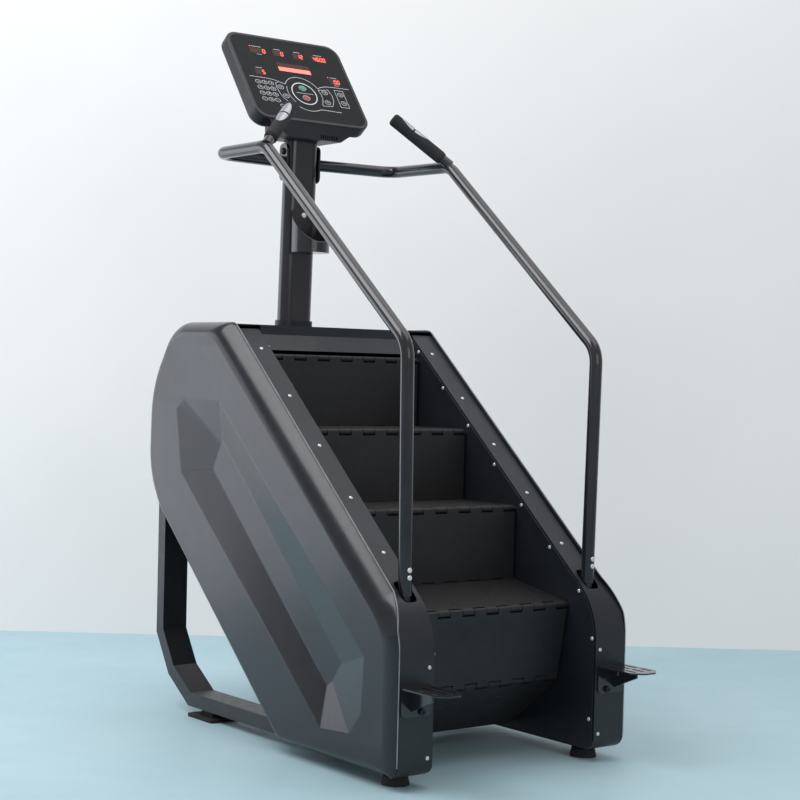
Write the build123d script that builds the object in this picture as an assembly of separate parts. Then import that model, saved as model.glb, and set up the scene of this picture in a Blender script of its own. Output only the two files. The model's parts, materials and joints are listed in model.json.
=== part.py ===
from build123d import *
import math
import os

# Stair climber: a short moving staircase between two moulded side covers, with a
# console on a post and a hand rail on each side. Millimetres, +Z up, +Y from the
# user's side to the rear, X across. While it is drawn, Y = 0 is the front face;
# export() then moves everything so that the origin is under the middle of the machine.

# ---------------------------------------------------------------- driving dimensions
RISE = 203.0  # height of one step
RUN = 229.5  # depth of one step
TREAD_HALF = 265.0  # half width of a tread
RISER_HALF = 262.0
KNUCKLE_R = 8.0  # hinge knuckles along every tread and riser edge
KNUCKLES = 13  # knuckles across one hinge line
PIN_R = 4.0
PIN_BORE_R = 4.05
HINGE_GAP = 1.5  # clearance between a plate's edge and the other part's knuckles
FIRST_HINGE = (336.4, 450.3)  # (y, z) of the hinge at the back of the lowest full tread
LOWER_TILT = 10.0  # the lowest step has begun to tip round the lower sprockets
UNDER_TURN = 140.0  # the step after it hangs below, turned this far from level

SPROCKET_PITCH_R = 128.0  # radius of the hinge path round the sprockets
LOWER_SPROCKET_S = -197.8  # along the slope, measured from FIRST_HINGE
UPPER_SPROCKET_S = 600.0
RETURN_START_S = -28.0  # first hinge of the returning steps, along the slope
CHAIN_GAP = 60.0  # hinge path to the chain's outer face
CHAIN_THICK = 10.0
CHAIN_X = (247.0, 257.0)

INNER_PLATE_X = (268.0, 271.0)
STRIP_X = (273.0, 377.0)
STRIP_SHEET = 2.0
SLOPE_RISE = 0.8643  # rise over run of the casing's sloping front
SLOPE_Z0 = 412.3  # height of the front strip's plane at Y = 0
COVER_X = (345.0, 392.0)
COVER_WALL = 4.0
COVER_SHOULDER = 36.0
COVER_PROUD = 13.2  # the covers stand this much higher than the strips
CASING_TOP = 1154.0
CASING_BOTTOM = 30.0
TOE_BEND = 40.0  # radius under the front
KNEE_BEND = 200.0  # radius between the front and the slope
DECK_FRONT = 838.0
FRAME_X = (292.0, 332.0)  # the side hoops, 40 mm tube
FRAME_WALL = 3.0

LEG_X = (240.0, 320.0)
LEG_THICK = 40.0
LEG_BACK = 1302.0
LEG_FRONT_END = 470.0
LEG_FLOOR_GAP = 27.0

RAIL_R = 17.5
RAIL_WALL = 3.0
GRIP_R = 19.5
POST_SIZE = (110.0, 55.0)
POST_WALL = 3.0
POST_BASE = (1071.5, 1126.0)  # (y, z) of the post's foot
POST_TOP = (1054.5, 1716.0)

CONSOLE_SIZE = (412.0, 348.0)
CONSOLE_DEPTH = 48.0
CONSOLE_CORNER = 45.0
CONSOLE_BACK_R = 14.0
CONSOLE_TILT = 53.6  # the face's slope above level
CONSOLE_CENTRE = (0.0, 1077.3, 1899.8)

PEG_X = 328.0
PEG_TOP = 258.0
FOOT_X = 318.0
FRONT_FOOT_Y = 87.0
REAR_FOOT_Y = (948.0, 1087.0)

PEG_REACH = 148.3  # the foot pegs are the front-most part
ORIGIN_Y = (LEG_BACK - PEG_REACH) / 2.0

SLOPE = math.atan2(RISE, RUN)
CASING_SLOPE = math.atan(SLOPE_RISE)
PITCH = math.hypot(RISE, RUN)


# ---------------------------------------------------------------- helpers
def export(node, *shapes):
    """Write one node's solids, moved to the machine's own origin."""
    solids = [solid for shape in shapes for solid in shape.solids()]
    moved = [Pos(0, -ORIGIN_Y, 0) * solid for solid in solids]
    export_step(Compound(children=moved), f"parts/{node}.step")


def both(node, shape):
    """Write a left-hand node and its mirror image on the right."""
    export(f"left_{node}", shape)
    export(f"right_{node}", mirror(shape, about=Plane.YZ))


def side_face(points, radii=None):
    """A face in the YZ plane from (y, z) corners, each corner rounded by its radius."""
    if radii is None:
        return Plane.YZ * make_face(Polyline(*points, close=True))
    return Plane.YZ * make_face(FilletPolyline(*points, radius=radii, close=True))


def across(face, x0, x1):
    """A YZ face made solid from x0 to x1."""
    return Pos(x0, 0, 0) * extrude(face, amount=x1 - x0, dir=(1, 0, 0))


def block(x, y, z):
    """A box from three (low, high) pairs."""
    size = [pair[1] - pair[0] for pair in (x, y, z)]
    middle = [(pair[0] + pair[1]) / 2 for pair in (x, y, z)]
    return Pos(*middle) * Box(*size)


def rod(start, end, radius):
    """A round bar between two points."""
    axis = Vector(*end) - Vector(*start)
    return Plane(origin=start, z_dir=axis) * extrude(Circle(radius), amount=axis.length)


def rod_x(y, z, x0, x1, radius):
    return rod((x0, y, z), (x1, y, z), radius)


def on_slope(along, off):
    """(y, z) of a point along the stair's slope and square off its hinge line."""
    y = FIRST_HINGE[0] + along * math.cos(SLOPE) - off * math.sin(SLOPE)
    z = FIRST_HINGE[1] + along * math.sin(SLOPE) + off * math.cos(SLOPE)
    return y, z


def strip_z(y):
    """Height of the front strips' plane."""
    return SLOPE_Z0 + SLOPE_RISE * y


def inset(points, distances):
    """Corners of a clockwise polygon with each edge moved inwards by its distance."""
    lines = []
    for i, (y0, z0) in enumerate(points):
        y1, z1 = points[(i + 1) % len(points)]
        length = math.hypot(y1 - y0, z1 - z0)
        ny, nz = (z1 - z0) / length, -(y1 - y0) / length
        lines.append((ny, nz, ny * y0 + nz * z0 + distances[i]))
    corners = []
    for i, (a1, b1, c1) in enumerate(lines):
        a0, b0, c0 = lines[i - 1]
        det = a0 * b1 - a1 * b0
        corners.append(((c0 * b1 - c1 * b0) / det, (a0 * c1 - a1 * c0) / det))
    return corners


# Casing outline, clockwise from the front bottom corner, with a rounding at each corner.
SLOPE_TOP_Y = (CASING_TOP - SLOPE_Z0 - COVER_PROUD) / SLOPE_RISE
CASING = [
    (0.0, CASING_BOTTOM),
    (0.0, SLOPE_Z0 + COVER_PROUD),
    (SLOPE_TOP_Y, CASING_TOP),
    (1130.0, CASING_TOP),
    (1257.0, 967.0),
    (1262.0, 714.0),
    (1200.0, 609.0),
    (529.0, CASING_BOTTOM),
]
CASING_RADII = [TOE_BEND, KNEE_BEND, 45.0, 110.0, 300.0, 250.0, 200.0, 45.0]
FRONT, SLOPED, DIAGONAL, BOTTOM = 0, 1, 6, 7  # edges of the outline, counted from the front


def casing_face(depth, overrides=None):
    """The casing outline drawn inwards by depth, or by another depth on some edges."""
    distances = [depth] * len(CASING)
    for edge, distance in (overrides or {}).items():
        distances[edge] = distance
    radii = [max(radius - depth, 8.0) for radius in CASING_RADII]
    return side_face(inset(CASING, distances), radii)


# ---------------------------------------------------------------- steps
def knuckle_spans(half_width, odd):
    """X ranges of every other knuckle along a hinge line."""
    width = 2 * half_width / KNUCKLES
    gap = 0.9
    spans = []
    for i in range(KNUCKLES):
        if (i % 2 == 1) == odd:
            low = -half_width + i * width
            spans.append((low + gap, low + width - gap))
    return spans


def hinge_knuckles(y, z, spans, towards):
    """Knuckles about (y, z), each joined to its plate by a web towards (dy, dz)."""
    web = KNUCKLE_R + HINGE_GAP + 0.5
    dy, dz = towards
    shape = Part()
    for x0, x1 in spans:
        y_range = sorted((y, y + dy * web)) if dy else (y - KNUCKLE_R, y + 2)
        z_range = sorted((z, z + dz * web)) if dz else (z - KNUCKLE_R, z + KNUCKLE_R)
        shape += rod_x(y, z, x0, x1, KNUCKLE_R)
        shape += block((x0, x1), y_range, z_range)
    return shape


def tread_profile(y_nose, y_back, top):
    """Section of a tread: fine ribs along X on top, a hollowed underside."""
    groove, pitch, depth, thick = 3.0, 9.0, 1.2, 22.0
    count = int((y_back - y_nose - 6.0) // pitch)
    points = [(y_nose, top)]
    for i in range(count):
        y = y_nose + 5.0 + i * pitch
        points += [(y, top), (y + 0.6, top - depth)]
        points += [(y + groove - 0.6, top - depth), (y + groove, top)]
    points += [(y_back, top), (y_back, top - 2 * KNUCKLE_R)]
    points += [(y_back - 12, top - thick), (y_nose + 12, top - thick)]
    points += [(y_nose, top - 2 * KNUCKLE_R)]
    return points


def level_tread(hinge):
    """A level tread whose back hinge is at (y, z)."""
    y, z = hinge
    nose = y - RUN
    clear = KNUCKLE_R + HINGE_GAP
    body = across(side_face(tread_profile(nose + clear, y - clear, z + KNUCKLE_R)),
                  -TREAD_HALF, TREAD_HALF)
    pocket = (nose + 40, y - 40)
    for x0 in (-240.0, -75.0, 90.0):
        body -= block((x0, x0 + 150), pocket, (z - 20, z - 4))
    body += hinge_knuckles(nose, z, knuckle_spans(RISER_HALF, False), (1, 0))
    body += hinge_knuckles(y, z, knuckle_spans(RISER_HALF, True), (-1, 0))
    for y_hinge in (nose, y):
        body -= rod_x(y_hinge, z, -TREAD_HALF - 1, TREAD_HALF + 1, PIN_BORE_R)
    return body


def upright_riser(hinge):
    """The riser in front of a level tread whose back hinge is at (y, z)."""
    y, top = hinge[0] - RUN, hinge[1]
    bottom = top - RISE
    clear = KNUCKLE_R + HINGE_GAP
    body = block((-RISER_HALF, RISER_HALF), (y - KNUCKLE_R, y + 2), (bottom + clear, top - clear))
    for x in (-200.0, -100.0, 0.0, 100.0, 200.0):
        body += block((x - 3, x + 3), (y + 2, y + 10), (bottom + 20, top - 24))
    body += hinge_knuckles(y, top, knuckle_spans(RISER_HALF, True), (0, -1))
    body += hinge_knuckles(y, bottom, knuckle_spans(RISER_HALF, False), (0, 1))
    for z in (bottom, top):
        body -= rod_x(y, z, -TREAD_HALF - 1, TREAD_HALF + 1, PIN_BORE_R)
    return body


def pin_at(y, z):
    return rod_x(y, z, -TREAD_HALF, TREAD_HALF, PIN_R)


def lugged_tread(hinge):
    """A level tread with the two moulded lugs that hold it to the chains."""
    y, z = hinge
    profile = [(y - 60, z - 12), (y - 30, z - 112), (y - 12, z - 112), (y - 16, z - 12)]
    lug = across(side_face(profile), CHAIN_X[1] + 1.5, RISER_HALF)
    return level_tread(hinge) + lug + mirror(lug, about=Plane.YZ)


def turn_about(shape, pivot, degrees):
    """Turn a shape about an X axis through (y, z)."""
    axis = Axis((0, pivot[0], pivot[1]), (1, 0, 0))
    return shape.rotate(axis, degrees)


def turned_point(point, pivot, degrees):
    a = math.radians(degrees)
    dy, dz = point[0] - pivot[0], point[1] - pivot[1]
    return (pivot[0] + dy * math.cos(a) - dz * math.sin(a),
            pivot[1] + dy * math.sin(a) + dz * math.cos(a))


def make_steps():
    hinges = [on_slope(i * PITCH, 0.0) for i in range(4)]
    train_pins = [pin_at(*hinges[0])]
    for i in range(1, 4):
        export(f"tread_{i + 1}", lugged_tread(hinges[i]))
        export(f"riser_{i + 1}", upright_riser(hinges[i]))
        train_pins += [pin_at(*hinges[i]), pin_at(hinges[i][0] - RUN, hinges[i][1])]
    export("step_pins", *train_pins)

    pivot = hinges[0]
    nose = (pivot[0] - RUN, pivot[1])
    foot = (nose[0], nose[1] - RISE)
    export("tread_1", turn_about(level_tread(pivot), pivot, LOWER_TILT))
    export("riser_1", turn_about(upright_riser(pivot), pivot, LOWER_TILT))
    export("lower_pins", *[turn_about(pin_at(*p), pivot, LOWER_TILT) for p in (nose, foot)])

    pivot = turned_point(foot, pivot, LOWER_TILT)
    nose = (pivot[0] - RUN, pivot[1])
    foot = (nose[0], nose[1] - RISE)
    under_pins = [turn_about(pin_at(*p), pivot, UNDER_TURN) for p in (nose, foot)]
    export("tread_0", turn_about(level_tread(pivot), pivot, UNDER_TURN))
    export("riser_0", turn_about(upright_riser(pivot), pivot, UNDER_TURN), *under_pins)

    pieces = []
    for i in range(2):
        hinge = on_slope(RETURN_START_S + i * PITCH, -2 * SPROCKET_PITCH_R)
        step_nose = (hinge[0] - RUN, hinge[1])
        for shape in (level_tread(hinge), upright_riser(hinge)):
            pieces.append(turn_about(shape, hinge, 180.0))
        pieces += [turn_about(pin_at(*p), hinge, 180.0) for p in (hinge, step_nose)]
    export("returning_steps", *pieces)


# ---------------------------------------------------------------- drive
LOWER_AXIS = on_slope(LOWER_SPROCKET_S, -SPROCKET_PITCH_R)
UPPER_AXIS = on_slope(UPPER_SPROCKET_S, -SPROCKET_PITCH_R)
CHAIN_OUT_R = SPROCKET_PITCH_R - CHAIN_GAP
SPROCKET_R = CHAIN_OUT_R - CHAIN_THICK - 0.6
SHAFT_R = 12.5
BEARING_R = 26.0
COUNTER_AXIS = (640.0, 520.0)
ALTERNATOR_AXIS = (455.0, 330.0)
BELT_1_X = (336.0, 347.0)
BELT_2_X = (351.0, 361.0)
DRIVE_PULLEY_R = 130.0
COUNTER_SMALL_R = 32.5
COUNTER_LARGE_R = 110.0
ALTERNATOR_PULLEY_R = 22.0
CARRIER_X = (286.0, 292.0)
COUNTER_BEARING_R = 21.0


def loop_face(a, ra, b, rb):
    """Outline round two circles in the YZ plane, joined by their outer tangents."""
    distance = math.hypot(b[0] - a[0], b[1] - a[1])
    heading = math.atan2(b[1] - a[1], b[0] - a[0])
    lean = math.acos((ra - rb) / distance)

    def on(centre, radius, angle):
        return centre[0] + radius * math.cos(angle), centre[1] + radius * math.sin(angle)

    a1, a2 = on(a, ra, heading + lean), on(a, ra, heading - lean)
    b1, b2 = on(b, rb, heading + lean), on(b, rb, heading - lean)
    outline = ThreePointArc(a1, on(a, ra, heading + math.pi), a2) + Line(a2, b2)
    outline += ThreePointArc(b2, on(b, rb, heading), b1) + Line(b1, a1)
    return Plane.YZ * make_face(outline)


def band(a, ra, b, rb, thick, x):
    """A closed belt or chain of even thickness round two wheels."""
    outer = across(loop_face(a, ra + thick, b, rb + thick), *x)
    return outer - across(loop_face(a, ra, b, rb), x[0] - 1, x[1] + 1)


def sprocket(centre, x):
    teeth = 22
    wheel = rod_x(*centre, *x, SPROCKET_R)
    for i in range(teeth):
        a = 2 * math.pi * i / teeth
        y = centre[0] + (SPROCKET_R + 1) * math.cos(a)
        z = centre[1] + (SPROCKET_R + 1) * math.sin(a)
        wheel -= rod_x(y, z, x[0] - 1, x[1] + 1, 5.0)
    for i in range(6):
        a = 2 * math.pi * i / 6
        y, z = centre[0] + 36 * math.cos(a), centre[1] + 36 * math.sin(a)
        wheel -= rod_x(y, z, x[0] - 1, x[1] + 1, 8.0)
    hub = rod_x(*centre, x[0] - 8, x[1] + 2, 22.0)
    return wheel + hub - rod_x(*centre, x[0] - 9, x[1] + 3, SHAFT_R)


def pulley(centre, radius, x, bore_r):
    """A belt pulley with a thin web and lightening holes when it is large."""
    wheel = rod_x(*centre, *x, radius)
    if radius > 60:
        middle = (x[0] + x[1]) / 2
        for low, high in ((x[0] - 1, middle - 2.5), (middle + 2.5, x[1] + 1)):
            wheel -= rod_x(*centre, low, high, radius - 10) - rod_x(*centre, low, high, 28.0)
        for i in range(5):
            a = 2 * math.pi * i / 5
            y = centre[0] + radius * 0.6 * math.cos(a)
            z = centre[1] + radius * 0.6 * math.sin(a)
            wheel -= rod_x(y, z, x[0] - 1, x[1] + 1, radius * 0.2)
    return wheel - rod_x(*centre, x[0] - 1, x[1] + 1, bore_r)


def bearing(centre, x, bore_r, outer_r):
    return rod_x(*centre, *x, outer_r) - rod_x(*centre, x[0] - 1, x[1] + 1, bore_r)


def make_drive():
    chain_in_r = CHAIN_OUT_R - CHAIN_THICK
    chain = band(LOWER_AXIS, chain_in_r, UPPER_AXIS, chain_in_r, CHAIN_THICK, CHAIN_X)
    export("step_chains", chain, mirror(chain, about=Plane.YZ))
    sprocket_x = (CHAIN_X[0] + 2, CHAIN_X[1] - 2)
    bearings = []
    for name, centre, reach in (("upper", UPPER_AXIS, BELT_1_X[1]),
                                ("lower", LOWER_AXIS, 300.0)):
        wheel = sprocket(centre, sprocket_x)
        export(f"{name}_sprockets", wheel, mirror(wheel, about=Plane.YZ))
        export(f"{name}_shaft", rod_x(*centre, -300.0, reach, SHAFT_R))
        ring = bearing(centre, (276.5, FRAME_X[0]), SHAFT_R + 0.05, BEARING_R)
        bearings += [ring, mirror(ring, about=Plane.YZ)]
    export("drive_pulley", pulley(UPPER_AXIS, DRIVE_PULLEY_R, BELT_1_X, SHAFT_R))
    bearings.append(bearing(COUNTER_AXIS, (CARRIER_X[0], 300.0), 10.05, COUNTER_BEARING_R))
    export("shaft_bearings", *bearings)
    shaft = rod_x(*COUNTER_AXIS, CARRIER_X[0] + 1, BELT_2_X[1], 10.0)
    small = pulley(COUNTER_AXIS, COUNTER_SMALL_R, BELT_1_X, 10.0)
    large = pulley(COUNTER_AXIS, COUNTER_LARGE_R, BELT_2_X, 10.0)
    export("counter_shaft", shaft, small, large)
    drive_belt = band(UPPER_AXIS, DRIVE_PULLEY_R + 0.4, COUNTER_AXIS, COUNTER_SMALL_R + 0.4,
                      3.0, (BELT_1_X[0] + 1, BELT_1_X[1] - 1))
    brake_belt = band(COUNTER_AXIS, COUNTER_LARGE_R + 0.4, ALTERNATOR_AXIS,
                      ALTERNATOR_PULLEY_R + 0.4, 2.5, (BELT_2_X[0] + 1, BELT_2_X[1] - 1))
    export("drive_belts", drive_belt, brake_belt)
    y, z = ALTERNATOR_AXIS
    body = rod_x(y, z, FRAME_X[0], 336.0, 62.0)
    for i in range(24):
        a = 2 * math.pi * i / 24
        body -= rod_x(y + 62 * math.cos(a), z + 62 * math.sin(a), 298.0, 330.0, 2.5)
    body -= rod_x(y, z, 283.0, 337.0, 8.05)
    export("alternator", body)
    rotor = rod_x(y, z, 294.0, BELT_2_X[1], 8.0)
    rotor += pulley(ALTERNATOR_AXIS, ALTERNATOR_PULLEY_R, BELT_2_X, 7.9)
    export("alternator_rotor", rotor)


# ---------------------------------------------------------------- structure
def hoop(x, wall=0.0):
    """One side hoop of 40 mm tube that follows the casing, or its hollow."""
    outer = casing_face(20 + wall, {BOTTOM: 37.5 + wall, SLOPED: 32 + wall})
    inner = casing_face(60 - wall, {BOTTOM: 77.5 - wall, SLOPED: 72 - wall})
    return across(outer, *x) - across(inner, x[0] - 1, x[1] + 1)


def slope_bar(middle, width, x):
    """A flat bar square across the stair's slope, from hoop to hoop."""
    corners = [on_slope(middle - width / 2, -24), on_slope(middle + width / 2, -24),
               on_slope(middle + width / 2, -420), on_slope(middle - width / 2, -420)]
    return across(side_face(corners), *x) & across(hoop_outline(), x[0] - 1, x[1] + 1)


def hoop_outline():
    return casing_face(24, {BOTTOM: 41.5, SLOPED: 36})


def make_side_frames():
    wall = FRAME_WALL
    frame = hoop(FRAME_X) - hoop((FRAME_X[0] + wall, FRAME_X[1] - wall), wall)
    frame += slope_bar(UPPER_SPROCKET_S, 110.0, CARRIER_X)
    frame += slope_bar(LOWER_SPROCKET_S + 40, 110.0, CARRIER_X)
    y, z = LOWER_AXIS
    frame += across(side_face([(30, z - 45), (30, z + 60), (y + 60, z + 60), (y + 60, z - 45)]), *CARRIER_X)
    for centre in (UPPER_AXIS, LOWER_AXIS):
        frame -= rod_x(*centre, CARRIER_X[0] - 1, CARRIER_X[1] + 1, BEARING_R)
    spigot = rod((rail_x(430.0), RAIL_FOOT_Y, 430.0), (rail_x(560.0), RAIL_FOOT_Y, 560.0),
                 RAIL_R - RAIL_WALL - 0.2)
    frame += spigot - across(casing_face(40, {BOTTOM: 41.5, SLOPED: 45}), 200, 400)
    for bolt_z in BASE_BOLT_Z:
        x = rail_x(bolt_z)
        frame -= rod((x, RAIL_FOOT_Y - 30, bolt_z), (x, RAIL_FOOT_Y + 1, bolt_z), 3.1)
    export("left_side_frame", mirror(frame, about=Plane.YZ))
    carriers = Part()
    for centre, hole in ((COUNTER_AXIS, COUNTER_BEARING_R), (ALTERNATOR_AXIS, 30.0)):
        y, z = centre
        plate = block(CARRIER_X, (y - 40, y + 40), (z - 400, z + 400))
        plate = plate & across(hoop_outline(), CARRIER_X[0] - 1, CARRIER_X[1] + 1)
        carriers += plate - rod_x(y, z, CARRIER_X[0] - 1, CARRIER_X[1] + 1, hole)
    export("right_side_frame", frame + carriers)


def square_tube(x, y, z, wall=3.0):
    """A square tube along X."""
    inner_y, inner_z = (y[0] + wall, y[1] - wall), (z[0] + wall, z[1] - wall)
    return block(x, y, z) - block((x[0] - 1, x[1] + 1), inner_y, inner_z)


REAR_TUBE = ((1188, 1226), (840, 880))
POST_TUBE = ((1030, 1110), (1084, 1124))


def make_cross_tubes():
    between_legs = square_tube((-LEG_X[0], LEG_X[0]), (485, 525), (28, 66))
    rear = square_tube((-FRAME_X[0], FRAME_X[0]), *REAR_TUBE)
    post_seat = square_tube((-FRAME_X[0], FRAME_X[0]), *POST_TUBE)
    export("cross_tubes", between_legs, rear, post_seat)


def mitred(spine, half):
    """Outline of a bar of even thickness along (y, z) points, with sharp mitred corners."""
    left, right = [], []
    for i, (y, z) in enumerate(spine):
        before, after = spine[max(i - 1, 0)], spine[min(i + 1, len(spine) - 1)]
        heading_in = math.atan2(z - before[1], y - before[0]) if i else None
        heading_out = math.atan2(after[1] - z, after[0] - y) if i < len(spine) - 1 else heading_in
        heading_in = heading_out if heading_in is None else heading_in
        turn = (heading_out - heading_in) / 2
        reach = half / math.cos(turn)
        normal = heading_in + turn + math.pi / 2
        left.append((y + reach * math.cos(normal), z + reach * math.sin(normal)))
        right.append((y - reach * math.cos(normal), z - reach * math.sin(normal)))
    return left + right[::-1]


def leg_solid(reduce):
    """One welded rear leg of rectangular tube, or its hollow when reduce is set."""
    half = LEG_THICK / 2 - reduce
    floor = LEG_FLOOR_GAP + LEG_THICK / 2
    back = LEG_BACK - LEG_THICK / 2
    spine = [(LEG_FRONT_END + reduce, floor), (1095, floor), (1206, 117), (back - 4, 226),
             (back, 930.0 - reduce)]
    return across(side_face(mitred(spine, half)), LEG_X[0] + reduce, LEG_X[1] - reduce)


def make_legs_and_feet():
    leg = leg_solid(0.0) - leg_solid(FRAME_WALL)
    both("rear_leg", mirror(leg, about=Plane.YZ))
    y0, y1 = REAR_FOOT_Y
    pad = block((LEG_X[0] - 8, LEG_X[1] + 12), (y0, y1), (0, 9))
    pad = fillet(pad.edges().filter_by(Axis.Z), 10)
    stem = block((LEG_X[0] + 16, LEG_X[1] - 16), (y0 + 40, y1 - 40), (9, LEG_FLOOR_GAP))
    export("rear_feet", pad + stem, mirror(pad + stem, about=Plane.YZ))
    foot = Pos(FOOT_X, FRONT_FOOT_Y, 0) * Cone(36, 35, 9, align=(Align.CENTER, Align.CENTER, Align.MIN))
    foot += Pos(FOOT_X, FRONT_FOOT_Y, 9) * Cone(34, 32, 14, align=(Align.CENTER, Align.CENTER, Align.MIN))
    foot += rod((FOOT_X, FRONT_FOOT_Y, 18), (FOOT_X, FRONT_FOOT_Y, 67.5), 6.0)
    export("front_feet", foot, mirror(foot, about=Plane.YZ))
    nut = Plane(origin=(FOOT_X, FRONT_FOOT_Y, 56)) * extrude(RegularPolygon(11, 6), amount=9)
    nut -= rod((FOOT_X, FRONT_FOOT_Y, 50), (FOOT_X, FRONT_FOOT_Y, 68), 6.05)
    return [nut, mirror(nut, about=Plane.YZ)]


# ---------------------------------------------------------------- casing
def make_inner_plates():
    plate = across(casing_face(14, {FRONT: 4.5, BOTTOM: 4, DIAGONAL: 9}), *INNER_PLATE_X)
    plate -= block((260, 280), (LEG_FRONT_END - 10, 700), (0, LEG_FLOOR_GAP + LEG_THICK + 3))
    plate -= block((260, 280), (DECK_FRONT - 4, 1400), (1140, 1200))
    for centre in (UPPER_AXIS, LOWER_AXIS):
        plate -= rod_x(*centre, 260, 280, SHAFT_R + 6)
    for y, z in (REAR_TUBE, POST_TUBE):
        plate -= block((260, 280), (y[0] - 1, y[1] + 1), (z[0] - 1, z[1] + 1))
    heads = []
    for y, z in PLATE_SCREW_SLOPED + PLATE_SCREW_LOW:
        plate -= rod_x(y, z, 260, 280, 2.2)
        heads.append(pan_screw((INNER_PLATE_X[0], y, z), Vector(-1, 0, 0), 4.0))
    both("inner_plate", mirror(plate, about=Plane.YZ))
    return heads + [mirror(head, about=Plane.YZ) for head in heads]


def strip_band(outer, inner):
    """Section of the bent front strip between two depths below its face."""
    knee = (0.0, SLOPE_Z0)
    top = (DECK_FRONT, strip_z(DECK_FRONT))
    face = [(0.0, CASING_BOTTOM), knee, top, (DECK_FRONT, CASING_BOTTOM)]
    sections = []
    for depth, back in ((outer, 0), (inner, -1)):
        corners = inset(face, [depth, depth, back, depth])
        sections.append(side_face(corners, [TOE_BEND - depth, KNEE_BEND - depth, 0, 0]))
    return sections


UPPER_STRIP_SCREW_Y = (178.5, 327.0, 475.5, 624.0, 772.7)
UPPER_STRIP_SCREW_X = 303.6
LOWER_STRIP_SCREW_X = 287.5
LOWER_STRIP_SCREW_Z = (77.3, 300.9)
PLATE_SCREW_SLOPED = [(66.2 + i * 121.2, 451.2 + i * 105.8) for i in range(7)]
PLATE_SCREW_LOW = [(10.6, 331.1), (15.3, 115.7)]


def make_strips():
    solid_face, hollow = strip_band(0.0, STRIP_SHEET)
    strip = across(solid_face, *STRIP_X) - across(hollow, STRIP_X[0] - 1, STRIP_X[1] + 1)
    lip_face, _ = strip_band(0.0, 24.0)
    lip = across(lip_face, STRIP_X[0], STRIP_X[0] + 1.5)
    _, lip_hollow = strip_band(0.0, 12.0)
    strip += lip - across(lip_hollow, STRIP_X[0] - 1, STRIP_X[1])
    behind_toe = (34, DECK_FRONT + 1), (CASING_BOTTOM - 1, CASING_BOTTOM + 14)
    strip -= block((STRIP_X[0] - 1, STRIP_X[1] + 1), *behind_toe)
    slot = Pos(RAIL_FOOT_X, RAIL_FOOT_Y, strip_z(RAIL_FOOT_Y)) * Box(46, 52, 120)
    strip -= fillet(slot.edges().filter_by(Axis.Z), 12)
    low, wide, narrow = CASING_BOTTOM, STRIP_X[1], COVER_X[0] - 0.5
    limit = FilletPolyline((STRIP_X[0], low), (STRIP_X[0], 1200), (narrow, 1200), (narrow, 498),
                           (wide, 398), (wide, low), radius=[6, 0, 0, 0, 0, 0], close=True)
    strip = strip & extrude(Plane.XZ * make_face(limit), amount=900, both=True)
    strip = mirror(strip, about=Plane.YZ)
    screws = []
    normal = Vector(0, -math.sin(CASING_SLOPE), math.cos(CASING_SLOPE))
    for y in UPPER_STRIP_SCREW_Y:
        screws.append(((-UPPER_STRIP_SCREW_X, y, strip_z(y)), normal))
    for z in LOWER_STRIP_SCREW_Z:
        screws.append(((-LOWER_STRIP_SCREW_X, 0.0, z), Vector(0, -1, 0)))
    heads = []
    for place, direction in screws:
        strip -= rod(Vector(*place) - direction * 20, Vector(*place) + direction * 20, 2.2)
        heads.append(pan_screw(place, direction))
    both("front_strip", strip)
    return heads + [mirror(head, about=Plane.YZ) for head in heads]


def pan_screw(place, direction, shank=7.0):
    """A pan-head screw seated at a point, with its head along direction."""
    seat = Plane(origin=place, z_dir=direction)
    head = extrude(Circle(5.2), amount=2.6)
    head = fillet(head.edges().group_by(Axis.Z)[-1], 2.0)
    head -= Pos(0, 0, 1.8) * (Box(5, 1.1, 2) + Box(1.1, 5, 2))
    return seat * (head + extrude(Circle(2.0), amount=-shank))


def recess_shape(depth_in, grow):
    """The sunken facets of a side cover, cut from outside towards the middle."""
    outer = [(1070, 927), (1092, 892), (1039, 738), (314, 113), (182, 123), (128, 165),
             (131, 321), (859, 928)]
    inner = [(876, 858), (890, 838), (896, 752), (330, 240), (300, 240), (290, 262),
             (292, 318), (850, 862)]
    outside_x = COVER_X[1]
    outer, inner = inset(outer, [-grow] * 8), inset(inner, [-grow] * 8)
    faces = [Pos(outside_x, 0, 0) * side_face(outer), Pos(outside_x - depth_in, 0, 0) * side_face(inner)]
    return loft(faces, ruled=True)


def cover_body(depth):
    """Solid shape of a side cover, drawn inwards by depth on every outer side."""
    x1 = COVER_X[1] - depth
    body = across(casing_face(depth), COVER_X[0], x1)
    edge = body.faces().sort_by(Axis.X)[-1].edges()
    return fillet(edge, COVER_SHOULDER - depth)


def make_covers():
    recess = 22.0
    shell = cover_body(0.0) - Pos(-1, 0, 0) * cover_body(COVER_WALL)
    shell += recess_shape(recess + COVER_WALL, 3.0) & cover_body(0.0)
    shell -= recess_shape(recess, 0.0)
    notch = Polyline((300, 0), (378, 0), (378, 400), (346, 500), (300, 500), close=True)
    shell -= Pos(0, 40, 0) * extrude(Plane.XZ * make_face(notch), amount=80)
    both("side_cover", mirror(shell, about=Plane.YZ))


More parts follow.
